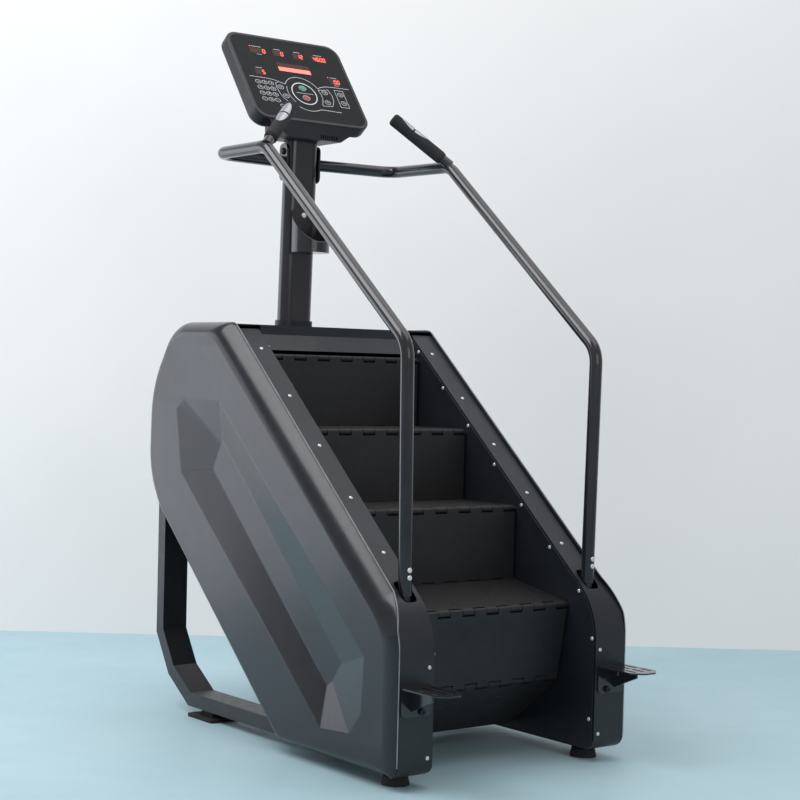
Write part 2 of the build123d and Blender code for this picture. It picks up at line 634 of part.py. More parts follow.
def make_shell_sheets():
    """Deck, rear panel and belly panel: bent sheets between the two covers."""
    half = COVER_X[0] - 1
    skin = across(casing_face(5), -half, half) - across(casing_face(7), -half - 1, half + 1)
    rear = skin & block((-half, half), (1118.5, 1400), (620, 1200))
    belly = skin & block((-half, half), (592, 1400), (0, 619.5))
    deck = skin & block((-half, half), (DECK_FRONT + 10, 1118), (1100, 1200))
    deck += block((-half, half), (DECK_FRONT, DECK_FRONT + 12), (1147, 1149))
    guard_half = INNER_PLATE_X[0] - 1
    lip = side_face([(DECK_FRONT, 1149), (DECK_FRONT, 1122), (808, 1078), (809.4, 1076.6),
                     (DECK_FRONT + 2, 1121), (DECK_FRONT + 2, 1149)])
    deck += across(lip, -guard_half, guard_half)
    opening = SlotOverall(POST_SIZE[0] + 16, POST_SIZE[1] + 16)
    hole = Pos(0, POST_BASE[0], 1148) * extrude(opening, amount=20, both=True)
    deck -= hole
    inlet_hole = block((-24, 24), (1200, 1300), (665, 695))
    export("top_deck", deck)
    export("rear_panel", rear - inlet_hole)
    export("belly_panel", belly)
    body = block((-23.5, 23.5), (1215, 1262), (665.5, 694.5)) - block((-13, 13), (1248, 1263), (672, 688))
    body += block((-34, 34), (1262, 1264), (659, 701)) - block((-13, 13), (1248, 1265), (672, 688))
    export("power_inlet", body)


# ---------------------------------------------------------------- hand rails
RAIL_FOOT_X = 308.5
RAIL_FOOT_Y = 78.9
RAIL_PATH = [
    (RAIL_FOOT_X, RAIL_FOOT_Y, 470.0),
    (320.5, 78.9, 1097.0),
    (325.8, 739.0, 1640.0),
    (314.0, 1013.0, 1643.0),
    (60.0, 1056.6, 1646.0),
]
RAIL_BENDS = [80.0, 70.0, 60.0]
BASE_BOLT_Z = (515.6, 534.7)
GRIP_BASE = (315.0, 745.0, 1655.0)
GRIP_TIP = (179.3, 836.0, 1780.0)


def rail_x(z):
    """X of the rail's leaning lower run at a height."""
    (x0, _, z0), (x1, _, z1) = RAIL_PATH[0], RAIL_PATH[1]
    return x0 + (z - z0) * (x1 - x0) / (z1 - z0)


def swept_rail(radius):
    path = FilletPolyline(*RAIL_PATH, radius=RAIL_BENDS)
    start, following = Vector(*RAIL_PATH[0]), Vector(*RAIL_PATH[1])
    return sweep(Plane(origin=start, z_dir=following - start) * Circle(radius), path)


def along(start, end, distance):
    """The point at a distance from start towards end."""
    step = Vector(*end) - Vector(*start)
    return Vector(*start) + step.normalized() * distance


def make_rails():
    rail = swept_rail(RAIL_R) - swept_rail(RAIL_R - RAIL_WALL)
    hollow = swept_rail(RAIL_R - RAIL_WALL)
    stub_end = along(GRIP_BASE, GRIP_TIP, 190)
    stub = rod(along(GRIP_BASE, GRIP_TIP, -18), stub_end, 15.0)
    rail = rail + stub - hollow
    lean = (POST_TOP[0] - POST_BASE[0]) / (POST_TOP[1] - POST_BASE[1])
    flange = block((55.3, 61.0), (1056.6 - 20, 1056.6 + 20), (1590, 1702))
    flange = fillet(flange.edges().filter_by(Axis.X), 18)
    rail = rail + flange
    bolts = []
    for z in (1615.0, 1678.0):
        y = 1056.6 + (z - 1646.0) * lean
        rail -= rod((50, y, z), (66, y, z), 5.2)
        head = rod((61.0, y, z), (67.5, y, z), 10.0)
        head = fillet(head.edges().sort_by(Axis.X)[-1], 4.0)
        bolts.append(head + rod((51.5, y, z), (61.0, y, z), 5.0))
    side = mirror(rail, about=Plane.YZ)
    base_bolts = []
    for z in BASE_BOLT_Z:
        x = rail_x(z)
        side -= rod((-x, RAIL_FOOT_Y - 30, z), (-x, RAIL_FOOT_Y, z), 3.1)
        shank = rod((-x, RAIL_FOOT_Y - 18, z), (-x, RAIL_FOOT_Y - 4, z), 3.0)
        head = rod((-x, RAIL_FOOT_Y - 21.2, z), (-x, RAIL_FOOT_Y - 17.6, z), 6.5)
        base_bolts.append(fillet(head.edges().sort_by(Axis.Y)[0], 2.0) + shank)
    both("handrail", side)
    make_grips(stub_end)
    bolts += [mirror(b, about=Plane.YZ) for b in bolts]
    return bolts, base_bolts + [mirror(b, about=Plane.YZ) for b in base_bolts]


def make_grips(stub_end):
    start = along(GRIP_BASE, GRIP_TIP, 20)
    sleeve = rod(start, Vector(*GRIP_TIP), GRIP_R)
    sleeve = fillet(sleeve.edges().sort_by(Axis.Z)[-1], 9.0)
    sleeve += rod(along(GRIP_BASE, GRIP_TIP, 13), along(GRIP_BASE, GRIP_TIP, 21), GRIP_R - 2)
    sleeve -= swept_rail(RAIL_R + 0.3)
    sleeve -= rod(along(GRIP_BASE, GRIP_TIP, 2), stub_end, 15.1)
    axis = (Vector(*GRIP_TIP) - Vector(*GRIP_BASE)).normalized()
    facing = Vector(0.3, -0.5, 0.8)
    facing = (facing - axis * facing.dot(axis)).normalized()
    middle = along(GRIP_BASE, GRIP_TIP, 132)
    lie = Plane(origin=middle, x_dir=axis, z_dir=facing)
    pad = lie * Pos(0, 0, 10) * extrude(Ellipse(50, 15.5), amount=14)
    skin = rod(start, Vector(*GRIP_TIP), GRIP_R + 0.8) - rod(start, Vector(*GRIP_TIP), GRIP_R - 1.2)
    pad = pad & skin
    gap = lie * Pos(0, 0, 16) * Box(6.0, 40, 20)
    grip, plates = sleeve - pad, pad - gap
    export("grips", grip, mirror(grip, about=Plane.YZ))
    export("pulse_plates", plates, mirror(plates, about=Plane.YZ))


# ---------------------------------------------------------------- post and console
def post_plane(z):
    """A plane square to the leaning post at a height, x across and y to the rear."""
    share = (z - POST_BASE[1]) / (POST_TOP[1] - POST_BASE[1])
    y = POST_BASE[0] + share * (POST_TOP[0] - POST_BASE[0])
    rise = Vector(0, POST_TOP[0] - POST_BASE[0], POST_TOP[1] - POST_BASE[1])
    return Plane(origin=(0, y, z), x_dir=(1, 0, 0), z_dir=rise)


def stadium_bar(z0, z1, width, depth):
    return post_plane(z0) * extrude(SlotOverall(width, depth), amount=z1 - z0)


def make_post():
    wide, deep = POST_SIZE
    post = stadium_bar(POST_BASE[1], POST_TOP[1], wide, deep)
    post -= stadium_bar(POST_BASE[1] - 5, POST_TOP[1] + 5, wide - 2 * POST_WALL, deep - 2 * POST_WALL)
    for z in (1615.0, 1678.0):
        y = post_plane(z).origin.Y
        post -= rod((-70, y, z), (70, y, z), 5.2)
    post -= rod((0, 1020, HOLDER_SCREW_Z), (0, 1042, HOLDER_SCREW_Z), 4.3)
    export("console_post", post)
    sleeve = stadium_bar(1151.0, 1172.0, wide + 12, deep + 12)
    sleeve -= stadium_bar(1140.0, 1190.0, wide + 0.2, deep + 0.2)
    export("post_sleeve", sleeve)


CONSOLE_PLANE = Plane(
    origin=CONSOLE_CENTRE,
    x_dir=(1, 0, 0),
    z_dir=(0, -math.sin(math.radians(CONSOLE_TILT)), math.cos(math.radians(CONSOLE_TILT))),
)


def slab(width, height, corner, z0, z1, at=(0.0, 0.0)):
    """A rounded plate in the console's own frame, between two depths."""
    return Pos(at[0], at[1], z0) * extrude(RectangleRounded(width, height, corner), amount=z1 - z0)


KEY_SIZE = (17.0, 12.0)
MAIN_KEY = (20.0, 15.0)
START_KEY = (4.0, -32.0)
STOP_KEY = (4.0, -71.0)
WINDOWS = [(-108.0, 105.0, 56.0), (-34.0, 105.0, 38.0), (38.0, 105.0, 38.0),
           (116.0, 105.0, 50.0), (-130.0, 15.0, 36.0), (141.0, 15.0, 38.0)]
WINDOW_HEIGHT = 22.0
MATRIX = (2.0, 49.0, 116.0, 34.0)
NUMBER_KEYS = [(-153.0 + 22.5 * i, -28.0 - 23.0 * j) for j in range(4) for i in range(3)]
BAND_KEYS = [(-77.0, -39.0), (-70.0, -74.0), (83.0, -38.0), (79.0, -79.0), (141.0, -38.0), (141.0, -73.0)]


def oval(size, z0, z1, at):
    return Pos(at[0], at[1], z0) * extrude(Ellipse(size[0] / 2, size[1] / 2), amount=z1 - z0)


def make_console():
    wide, high = CONSOLE_SIZE
    shell = slab(wide, high, CONSOLE_CORNER, -CONSOLE_DEPTH, 0)
    shell = fillet(shell.faces().sort_by(Axis.Z)[0].edges(), CONSOLE_BACK_R)
    front = shell.faces().sort_by(Axis.Z)[-1].edges()
    shell = fillet(front, 4)
    hollow = slab(wide - 7, high - 7, CONSOLE_CORNER - 3.5, -CONSOLE_DEPTH + 3.5, -6)
    hollow = fillet(hollow.faces().sort_by(Axis.Z)[0].edges(), CONSOLE_BACK_R - 3)
    shell -= hollow + slab(wide - 22, high - 22, CONSOLE_CORNER - 11, -7, 1)
    neck = block((-50, 50), (-150, -60), (-60, -40))
    shell -= neck & slab(80, 70, 8, -60, -40, (0, -110))
    export("console_housing", CONSOLE_PLANE * shell)

    face = slab(wide - 22.4, high - 22.4, CONSOLE_CORNER - 11.2, -3.0, -0.4)
    rim = slab(wide - 24, high - 24, CONSOLE_CORNER - 12, -6.1, -3.0)
    face += rim - slab(wide - 40, high - 40, 26, -7, -3)
    windows = []
    for x, y, width in WINDOWS:
        face -= slab(width + 0.2, WINDOW_HEIGHT + 0.2, 2.1, -1.6, 1, (x, y))
        windows.append(slab(width, WINDOW_HEIGHT, 2, -1.6, -0.3, (x, y)))
    x, y, width, height = MATRIX
    face -= slab(width + 0.2, height + 0.2, 2.1, -1.6, 1, (x, y))
    windows.append(slab(width, height, 2, -1.6, -0.3, (x, y)))
    for place in (START_KEY, STOP_KEY):
        face -= oval((MAIN_KEY[0] + 1, MAIN_KEY[1] + 1), -4, 1, place)
    export("console_face", CONSOLE_PLANE * face)
    export("display_windows", *[CONSOLE_PLANE * w for w in windows])
    domes = [oval((15, 12), -0.4, 0.5, place) for place in NUMBER_KEYS]
    domes += [oval(KEY_SIZE, -0.4, 0.5, place) for place in BAND_KEYS]
    export("membrane_keys", *[CONSOLE_PLANE * d for d in domes])
    for name, place in (("start_key", START_KEY), ("stop_key", STOP_KEY)):
        key = oval(MAIN_KEY, -3.0, 0.9, place)
        key = fillet(key.edges().group_by(Axis.Z)[-1], 0.8)
        key += oval((MAIN_KEY[0] + 5, MAIN_KEY[1] + 5), -4.8, -3.6, place)
        key += oval((6, 6), -6.0, -4.8, place)
        key += oval(MAIN_KEY, -3.6, -3.0, place)
        export(name, CONSOLE_PLANE * key)
    board = slab(300, 240, 4, -14.0, -12.4) - slab(90, 60, 4, -16, -10, (0, -110))
    for place in (START_KEY, STOP_KEY):
        board += slab(9, 9, 1, -12.4, -8.0, place)
    for x, y in ((-60, 90), (70, 95), (-80, 10), (90, 20)):
        board += slab(34, 22, 1, -20.0, -14.0, (x, y))
    export("console_board", CONSOLE_PLANE * board)
    make_chin()


def make_chin():
    """The box under the console that takes the top of the post."""
    side = [(979, 1712), (976, 1775), (1040, 1870), (1095, 1870), (1112, 1800), (1100, 1712)]
    front = [(-95, 1712), (-163, 1757), (-163, 1900), (163, 1900), (163, 1757), (95, 1712)]
    plan = [(-163, 970), (-163, 984), (-108, 1040), (-95, 1120), (95, 1120), (108, 1040), (163, 984),
            (163, 970)]
    chin = across(side_face(side), -170, 170) & toward_rear(front) & seen_from_above(plan)
    hollow = across(side_face(inset(side, [3.0] * 6)), -170, 170) & toward_rear(inset(front, [3.0] * 6))
    chin -= hollow & seen_from_above(inset(plan, [3.0] * 8))
    wide, high = CONSOLE_SIZE
    body = slab(wide + 0.4, high + 0.4, CONSOLE_CORNER, -CONSOLE_DEPTH - 0.2, 30)
    body = fillet(body.faces().sort_by(Axis.Z)[0].edges(), CONSOLE_BACK_R)
    chin -= CONSOLE_PLANE * body
    chin -= CONSOLE_PLANE * slab(wide, high, CONSOLE_CORNER, -20, 120)
    chin -= stadium_bar(1700, 1760, POST_SIZE[0] + 0.4, POST_SIZE[1] + 0.4)
    for i in range(8):
        chin -= block((20 + i * 8.0, 24 + i * 8.0), (970, 990), (1716, 1728))
    export("console_chin", chin)


def toward_rear(points):
    """An (x, z) outline made solid right through the console's depth."""
    face = Plane.XZ * make_face(Polyline(*points, close=True))
    return Pos(0, 1050, 0) * extrude(face, amount=150, both=True)


def seen_from_above(points):
    """An (x, y) outline made solid up through the machine's whole height."""
    return extrude(make_face(Polyline(*points, close=True)), amount=2000)


HOLDER_R = 57.5
HOLDER_AHEAD = 41.5  # holder centre in front of the post's face
HOLDER_Z = (1374.0, 1398.0, 1505.0)
HOLDER_SCREW_Z = 1488.0
HOLDER_BACK_Y = 1032.6


def make_bottle_holder():
    bottom, front_rim, back_rim = HOLDER_Z
    back_y = HOLDER_BACK_Y
    centre_y = back_y - HOLDER_AHEAD
    cup = rod((0, centre_y, bottom), (0, centre_y, back_rim), HOLDER_R)
    cup -= rod((0, centre_y, bottom + 3), (0, centre_y, back_rim + 1), HOLDER_R - 3)
    cup -= block((-70, 70), (back_y - 3, 1100), (bottom - 1, back_rim + 1))
    cup += block((-42, 42), (back_y - 3, back_y - 0.6), (bottom, back_rim))
    wide, deep = POST_SIZE
    seat = block((-26, 26), (back_y - 3, back_y + 8), (bottom, back_rim))
    cup += seat - stadium_bar(bottom - 20, back_rim + 20, wide + 0.2, deep + 0.2)
    cutter = [(centre_y - HOLDER_R - 5, front_rim), (back_y - 3, back_rim - 4), (back_y - 3, back_rim + 90),
              (centre_y - HOLDER_R - 5, back_rim + 90)]
    cup -= across(side_face(cutter), -80, 80)
    cup -= rod((0, 1020, HOLDER_SCREW_Z), (0, 1045, HOLDER_SCREW_Z), 4.2)
    export("bottle_holder", cup)
    screw = rod((0, back_y - 7, HOLDER_SCREW_Z), (0, back_y - 3, HOLDER_SCREW_Z), 8.0)
    screw = fillet(screw.edges().sort_by(Axis.Y)[0], 2.5)
    screw += rod((0, back_y - 3, HOLDER_SCREW_Z), (0, back_y + 6, HOLDER_SCREW_Z), 4.0)
    return [screw]


# ---------------------------------------------------------------- foot pegs
def make_pegs():
    half = 47.0
    top = PEG_TOP
    outline = Polyline((-half, 0), (-half, -122), (-20, -PEG_REACH), (20, -PEG_REACH), (half, -122),
                       (half, 0), close=True)
    plate = make_face(outline)
    plate = fillet(plate.vertices().sort_by(Axis.Y)[:4], 10)
    deck = extrude(plate, amount=4)
    for x in (-28, 0, 28):
        for y0, y1 in ((-70, -18), (-122, -82)):
            deck -= Pos(x, (y0 + y1) / 2, 0) * extrude(SlotOverall(y1 - y0, 9, rotation=90), amount=5)
    deck = Pos(PEG_X, -0.3, top - 4) * deck
    base = block((PEG_X - half, PEG_X + half), (-4.3, -0.3), (184, top - 4))
    base = fillet(base.edges().filter_by(Axis.Y).group_by(Axis.Z)[0], 14)
    gusset_profile = [(-4.3, top - 4), (-86, top - 4), (-86, 233), (-4.3, 198)]
    gusset = across(side_face(gusset_profile), 339, 345)
    second = across(side_face([(-4.3, top - 4), (-60, top - 4), (-60, 240), (-4.3, 224)]), 296, 300)
    base -= rod((312, -10, 195), (312, 10, 195), 5.2)
    bolt = Plane(origin=(312, -4.3, 195), z_dir=(0, -1, 0)) * extrude(RegularPolygon(9, 6), amount=7)
    bolt -= rod((312, -12, 195), (312, -9, 195), 3.5)
    bolt += rod((312, -4.3, 195), (312, -0.4, 195), 5.0)
    peg = deck + base + gusset + second
    export("foot_pegs", peg, mirror(peg, about=Plane.YZ))
    return [bolt, mirror(bolt, about=Plane.YZ)]


def make_control_box():
    box = block((-334, -280), (560, 700), (400, 500))
    box = fillet(box.edges().filter_by(Axis.X), 6)
    box -= block((-331, -283), (563, 697), (403, 497))
    export("control_box", box)


def main():
    os.makedirs("parts", exist_ok=True)
    make_steps()
    make_drive()
    make_side_frames()
    make_cross_tubes()
    make_covers()
    make_shell_sheets()
    make_post()
    make_console()
    make_control_box()
    zinc = make_legs_and_feet() + make_inner_plates() + make_strips() + make_bottle_holder()
    post_bolts, rail_bolts = make_rails()
    export("zinc_screws", *zinc, *rail_bolts)
    export("black_bolts", *post_bolts, *make_pegs())


main()
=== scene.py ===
import bmesh
import bpy
import json
import math
from mathutils import Matrix, Vector
from mathutils.geometry import tessellate_polygon


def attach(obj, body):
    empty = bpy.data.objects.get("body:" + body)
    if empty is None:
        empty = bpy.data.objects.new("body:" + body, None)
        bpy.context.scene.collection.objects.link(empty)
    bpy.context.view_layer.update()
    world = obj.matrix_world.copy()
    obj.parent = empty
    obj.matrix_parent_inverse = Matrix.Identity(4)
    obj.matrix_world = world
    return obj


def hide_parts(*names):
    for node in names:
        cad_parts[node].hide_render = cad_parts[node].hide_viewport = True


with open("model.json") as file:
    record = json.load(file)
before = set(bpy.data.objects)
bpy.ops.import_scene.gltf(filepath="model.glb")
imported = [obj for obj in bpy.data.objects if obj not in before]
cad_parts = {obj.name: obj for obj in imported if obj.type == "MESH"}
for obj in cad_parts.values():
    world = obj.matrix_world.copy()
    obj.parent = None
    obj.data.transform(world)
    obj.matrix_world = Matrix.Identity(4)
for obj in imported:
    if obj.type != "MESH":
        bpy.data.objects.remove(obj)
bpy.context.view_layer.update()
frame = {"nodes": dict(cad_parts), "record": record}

RECORD = frame["record"]


# ---------------------------------------------------------------- materials
def tree(name):
    """A new material with its nodes, its links and its shader."""
    mat = bpy.data.materials.new(name)
    mat.use_nodes = True
    nodes, links = mat.node_tree.nodes, mat.node_tree.links
    shader = nodes["Principled BSDF"]
    return mat, nodes, links, shader


def noise(nodes, links, scale, detail=4.0, rough=0.55, stretch=(1, 1, 1)):
    """A noise texture in the part's own metres."""
    coord = nodes.new("ShaderNodeTexCoord")
    mapping = nodes.new("ShaderNodeMapping")
    mapping.inputs["Scale"].default_value = stretch
    tex = nodes.new("ShaderNodeTexNoise")
    tex.inputs["Scale"].default_value = scale
    tex.inputs["Detail"].default_value = detail
    tex.inputs["Roughness"].default_value = rough
    links.new(coord.outputs["Object"], mapping.inputs["Vector"])
    links.new(mapping.outputs["Vector"], tex.inputs["Vector"])
    return tex.outputs["Fac"]


def ramp(nodes, links, fac, low, high, at=(0.35, 0.65)):
    """A two-colour ramp over a value."""
    node = nodes.new("ShaderNodeValToRGB")
    node.color_ramp.elements[0].position = at[0]
    node.color_ramp.elements[1].position = at[1]
    node.color_ramp.elements[0].color = (*low, 1)
    node.color_ramp.elements[1].color = (*high, 1)
    links.new(fac, node.inputs["Fac"])
    return node.outputs["Color"]


def spread(nodes, links, fac, low, high):
    """A value moved to a range."""
    node = nodes.new("ShaderNodeMapRange")
    node.inputs["From Min"].default_value = 0.3
    node.inputs["From Max"].default_value = 0.7
    node.inputs["To Min"].default_value = low
    node.inputs["To Max"].default_value = high
    links.new(fac, node.inputs["Value"])
    return node.outputs["Result"]


def bump(nodes, links, height, strength, distance, below=None):
    """A bump from a height, laid over the bump below it where there is one."""
    node = nodes.new("ShaderNodeBump")
    node.inputs["Strength"].default_value = strength
    node.inputs["Distance"].default_value = distance
    links.new(height, node.inputs["Height"])
    if below is not None:
        links.new(below, node.inputs["Normal"])
    return node.outputs["Normal"]


def surface(name, low, high, rough, metal=0.0, grain=(900.0, 0.15, 0.0002), wave=None,
            patch=6.0, coat=0.0, spec=0.5, stretch=(1, 1, 1)):
    """A mottled surface: colour and roughness vary a little, with grain and slow waviness."""
    mat, nodes, links, shader = tree(name)
    links.new(ramp(nodes, links, noise(nodes, links, patch, 5.0), low, high), shader.inputs["Base Color"])
    links.new(spread(nodes, links, noise(nodes, links, patch * 7, 3.0), *rough), shader.inputs["Roughness"])
    shader.inputs["Metallic"].default_value = metal
    shader.inputs["Specular IOR Level"].default_value = spec
    shader.inputs["Coat Weight"].default_value = coat
    shader.inputs["Coat Roughness"].default_value = 0.12
    scale, strength, distance = grain
    normal = bump(nodes, links, noise(nodes, links, scale, 2.0, 0.5, stretch), strength, distance)
    if wave:
        scale, strength, distance = wave
        normal = bump(nodes, links, noise(nodes, links, scale, 1.0), strength, distance, normal)
    links.new(normal, shader.inputs["Normal"])
    return mat


def glowing(name, colour, strength):
    """A lit part of a display, brighter in some places than others."""
    mat, nodes, links, shader = tree(name)
    low = tuple(c * 0.75 for c in colour)
    glow = ramp(nodes, links, noise(nodes, links, 600.0, 2.0), low, colour)
    links.new(glow, shader.inputs["Emission Color"])
    links.new(glow, shader.inputs["Base Color"])
    shader.inputs["Emission Strength"].default_value = strength
    shader.inputs["Roughness"].default_value = 0.4
    return mat


COVER = surface("satin_cover", (0.009, 0.010, 0.014), (0.013, 0.015, 0.020), (0.2, 0.27),
                coat=0.15, spec=0.4, grain=(700.0, 0.12, 0.0003), wave=(9.0, 0.25, 0.002))
# A painted highlight: a light grey material for the rim's front edge, standing in for the light that the
# rounded edge catches.
RIM_HIGHLIGHT_PAINT = surface("painted_rim_highlight", (0.22, 0.22, 0.25), (0.32, 0.32, 0.35), (0.3, 0.4), patch=30.0,
                     grain=(700.0, 0.1, 0.0002))
SHEET = surface("powder_sheet", (0.011, 0.013, 0.017), (0.016, 0.019, 0.024), (0.32, 0.42),
                grain=(1400.0, 0.18, 0.0002))
STEP = surface("step_plastic", (0.008, 0.008, 0.009), (0.012, 0.012, 0.013), (0.48, 0.6),
               grain=(900.0, 0.2, 0.0003))
GLOSS = surface("gloss_coat", (0.013, 0.013, 0.015), (0.019, 0.019, 0.022), (0.15, 0.22), coat=0.4,
                grain=(700.0, 0.08, 0.0002))
LEG = surface("leg_coat", (0.011, 0.012, 0.014), (0.016, 0.017, 0.02), (0.36, 0.46),
              grain=(1200.0, 0.2, 0.0002))
RUBBER = surface("rubber", (0.018, 0.018, 0.019), (0.03, 0.03, 0.031), (0.75, 0.88),
                 grain=(1600.0, 0.4, 0.0004), spec=0.3)
ZINC = surface("zinc", (0.8, 0.81, 0.82), (0.9, 0.91, 0.92), (0.3, 0.42), metal=0.6,
               grain=(500.0, 0.1, 0.0001))
BOLT = surface("black_bolt", (0.02, 0.02, 0.022), (0.04, 0.04, 0.043), (0.3, 0.42), metal=0.6,
               grain=(500.0, 0.15, 0.0001))
TRIM = surface("trim_plastic", (0.012, 0.013, 0.016), (0.018, 0.019, 0.023), (0.36, 0.46),
               grain=(1300.0, 0.3, 0.0002))
FACE = surface("console_face", (0.006, 0.007, 0.009), (0.009, 0.010, 0.013), (0.42, 0.5), patch=20.0,
               spec=0.15, grain=(2200.0, 0.1, 0.0001))
DOME = surface("key_dome", (0.012, 0.013, 0.015), (0.02, 0.021, 0.024), (0.3, 0.4), patch=60.0,
               grain=(2200.0, 0.1, 0.0001))
LENS = surface("red_lens", (0.055, 0.028, 0.018), (0.075, 0.038, 0.022), (0.35, 0.45), patch=80.0,
               spec=0.15, grain=(900.0, 0.05, 0.0001))
PRINT = surface("white_print", (0.6, 0.62, 0.64), (0.75, 0.77, 0.79), (0.5, 0.6), patch=90.0,
                grain=(2500.0, 0.1, 0.0001))
GREEN = surface("green_key", (0.02, 0.3, 0.15), (0.03, 0.42, 0.2), (0.35, 0.45), patch=200.0,
                grain=(2000.0, 0.1, 0.0001))
RED = surface("red_key", (0.42, 0.02, 0.04), (0.55, 0.04, 0.06), (0.35, 0.45), patch=200.0,
              grain=(2000.0, 0.1, 0.0001))
CHROME = surface("pulse_plate", (0.34, 0.36, 0.39), (0.44, 0.46, 0.49), (0.3, 0.4), metal=0.9,
                 grain=(400.0, 0.06, 0.0001))
STEEL = surface("oiled_steel", (0.2, 0.2, 0.2), (0.38, 0.37, 0.36), (0.3, 0.45), metal=1.0,
                grain=(400.0, 0.2, 0.0002))
ALLOY = surface("cast_alloy", (0.4, 0.4, 0.42), (0.55, 0.55, 0.57), (0.4, 0.55), metal=1.0,
                grain=(500.0, 0.3, 0.0003))
BELT = surface("belt", (0.012, 0.012, 0.012), (0.022, 0.022, 0.022), (0.7, 0.85),
               grain=(900.0, 0.3, 0.0003))
BOARD = surface("board", (0.01, 0.12, 0.05), (0.02, 0.2, 0.08), (0.35, 0.5), patch=40.0,
                grain=(900.0, 0.2, 0.0002))
DIGIT = glowing("led_red", (1.0, 0.10, 0.06), 2.0)
MATRIX_LIT = glowing("led_pink", (1.0, 0.17, 0.14), 1.6)

BY_SLOT = {
    "step_plastic": STEP, "cover_plastic": COVER, "frame_paint": SHEET, "gloss_paint": GLOSS,
    "rubber": RUBBER, "zinc": ZINC, "black_bolts": BOLT, "trim_plastic": TRIM,
    "console_face": FACE, "membrane": DOME, "window": LENS, "green_key": GREEN,
    "red_key": RED, "circuit_board": BOARD, "pulse_plates": CHROME, "drive_steel": STEEL,
    "cast_pulley": ALLOY, "belt": BELT, "alternator": ALLOY,
}
for part in RECORD["subparts"]:
    node = frame["nodes"][part["node"]]
    node.data.materials.clear()
    node.data.materials.append(BY_SLOT[part["material_slot"]])
for name in ("left_rear_leg", "right_rear_leg"):
    frame["nodes"][name].data.materials.clear()
    frame["nodes"][name].data.materials.append(LEG)


# ---------------------------------------------------------------- mesh helpers
SHIFT_Y = 0.57685  # the drawing's y of the origin, as in the CAD


def spot(x, y, z):
    """A point in metres from the drawing's millimetres, with y from the casing's front."""
    return Vector((x / 1000, y / 1000 - SHIFT_Y, z / 1000))


def mesh_piece(name, points, faces, mat, body):
    """A new piece from its points and faces, riding on a body and in a material slot."""
    mesh = bpy.data.meshes.new(name)
    mesh.from_pydata([tuple(p) for p in points], [], faces)
    work = bmesh.new()
    work.from_mesh(mesh)
    bmesh.ops.recalc_face_normals(work, faces=work.faces)
    work.to_mesh(mesh)
    work.free()
    mesh.materials.append(mat)
    obj = bpy.data.objects.new(name, mesh)
    bpy.context.scene.collection.objects.link(obj)
    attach(obj, body)
    return obj


# ---------------------------------------------------------------- side covers
# Outlines are (y, z) corners in millimetres, clockwise from the bottom of the front edge.
CASING = [(0.0, 30.0), (0.0, 425.5), (842.8, 1154.0), (1130.0, 1154.0), (1257.0, 967.0),
          (1262.0, 714.0), (1200.0, 609.0), (529.0, 30.0)]
CASING_RADII = [40.0, 200.0, 45.0, 110.0, 300.0, 250.0, 200.0, 45.0]
# Per edge: the width of the rolled shoulder, and how straight it is (0 is a quarter round).
SHOULDER = [50.0, 66.0, 40.0, 36.0, 36.0, 36.0, 30.0, 30.0]
STRAIGHT = [0.6, 0.85, 0.3, 0.0, 0.0, 0.0, 0.2, 0.2]
INNER_RADII = [45.0, 170.0, 120.0, 120.0, 280.0, 230.0, 180.0, 40.0]
# Where along the shoulder its rings lie: 0 is the rim and 1 the shoulder's inner end.
SHOULDER_RINGS = [0.02, 0.05, 0.09, 0.14, 0.2, 0.27, 0.35, 0.44, 0.54, 0.65, 0.76, 0.86, 0.94, 1.0]
FULLNESS = 0.85  # how far a straight shoulder bulges
# The sunken panel: its outline on the cover, its floor, and how far out each lies.
RECESS_OUTER = [(1045, 930), (1084, 903), (1050, 722), (322, 107), (190, 117), (140, 172),
                (131, 318), (858, 929)]
RECESS_INNER = [(876, 812), (882, 802), (918, 736), (326, 212), (305, 226), (284, 252),
                (265, 278), (868, 817)]
RECESS_RIM_X = [389.0, 391.5, 391.5, 385.3, 388.0, 391.5, 391.5, 384.8]
RECESS_FLOOR_X = 364.0
OUTER_X = 392.0
RIM_X = 345.0
# The rim's section, from inside the lip to the shoulder: how far in and how far out it goes.
RIM_SECTION = [(20.0, 4.0), (20.0, 0.0), (0.6, 0.0), (0.0, 0.6), (0.0, 3.2), (0.5, 4.0)]
RIM_INSET, RIM_HEIGHT = RIM_SECTION[-1]
# The rim stands further out at the low front: by how much, below what height, and how far back.
LOW_RIM = 33.0
LOW_TOP, LOW_FADE = 498.0, 100.0
TOE_TOP, TOE_REACH, STRIP_REACH, REACH_FADE = 200.0, 45.0, 135.0, 25.0
# The painted highlight along the front edge: a light grey material stands in for the light that the rounded
# rim catches. These are the bands of faces that get it, and how far back and how low it goes.
PAINTED_HIGHLIGHT_BANDS = (3, 4)
PAINTED_HIGHLIGHT_BACK, PAINTED_HIGHLIGHT_BOTTOM = 840.0, 60.0
FACET_BEVEL = 0.0035  # metres
FACET_TURN = 0.1  # radians between two facets that get a bevel
SHARP_TURN = math.radians(38)


def inset(points, distances):
    """Corners of a clockwise polygon with each edge moved inwards by its distance."""
    lines = []
    for i, (y0, z0) in enumerate(points):
        y1, z1 = points[(i + 1) % len(points)]
        length = math.hypot(y1 - y0, z1 - z0)
        ny, nz = (z1 - z0) / length, -(y1 - y0) / length
        lines.append((ny, nz, ny * y0 + nz * z0 + distances[i]))
    corners = []
    for i, (a1, b1, c1) in enumerate(lines):
        a0, b0, c0 = lines[i - 1]
        det = a0 * b1 - a1 * b0
        corners.append(((c0 * b1 - c1 * b0) / det, (a0 * c1 - a1 * c0) / det))
    return corners


